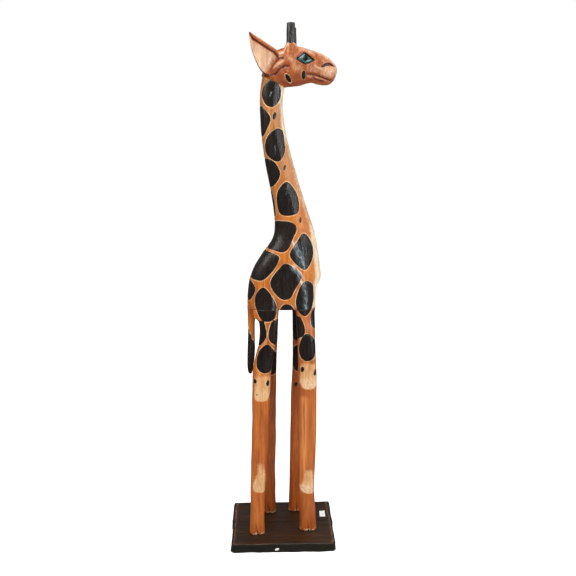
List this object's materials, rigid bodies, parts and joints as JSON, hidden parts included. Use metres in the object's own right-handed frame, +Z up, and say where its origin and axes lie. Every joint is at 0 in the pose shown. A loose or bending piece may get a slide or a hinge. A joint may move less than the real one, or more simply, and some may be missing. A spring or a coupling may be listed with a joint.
{
  "type": "carved wooden giraffe statue",
  "caption": "Tall slender giraffe carved in wood with dark patches, standing on a flat dark board.",
  "frame": {"origin": "middle of the board's underside, on the surface that the statue stands on", "axes": "+Z up; +X the way the giraffe faces; +Y towards the giraffe's left side"},
  "size_m": [0.205, 0.154, 1],
  "materials": {
    "board_wood": "dark brown-black stain under a worn satin varnish",
    "label_paper": "plain white paper, blank",
    "body_wood": "orange stained carved wood with dark patches, satin varnish",
    "leg_wood": "orange-brown stained carved wood with pale knees, satin varnish",
    "head_wood": "salmon-brown carved wood, satin varnish",
    "horn_wood": "black painted carved wood",
    "dowel_wood": "raw turned hardwood",
    "screw_steel": "zinc plated steel"
  },
  "bodies": {
    "root": {"base_board": "board_wood", "blank_label": "label_paper", "torso_and_neck": "body_wood", "head": "head_wood", "ear_right": "head_wood", "ear_left": "head_wood", "horn_right": "horn_wood", "horn_left": "horn_wood", "tail": "body_wood", "leg_fore_right": "leg_wood", "leg_fore_left": "leg_wood", "leg_hind_right": "leg_wood", "leg_hind_left": "leg_wood", "dowel_neck": "dowel_wood", "dowel_fore_right": "dowel_wood", "dowel_fore_left": "dowel_wood", "dowel_hind_right": "dowel_wood", "dowel_hind_left": "dowel_wood", "screw_fore_right": "screw_steel", "screw_fore_left": "screw_steel", "screw_hind_right": "screw_steel", "screw_hind_left": "screw_steel"}
  },
  "joints": []
}
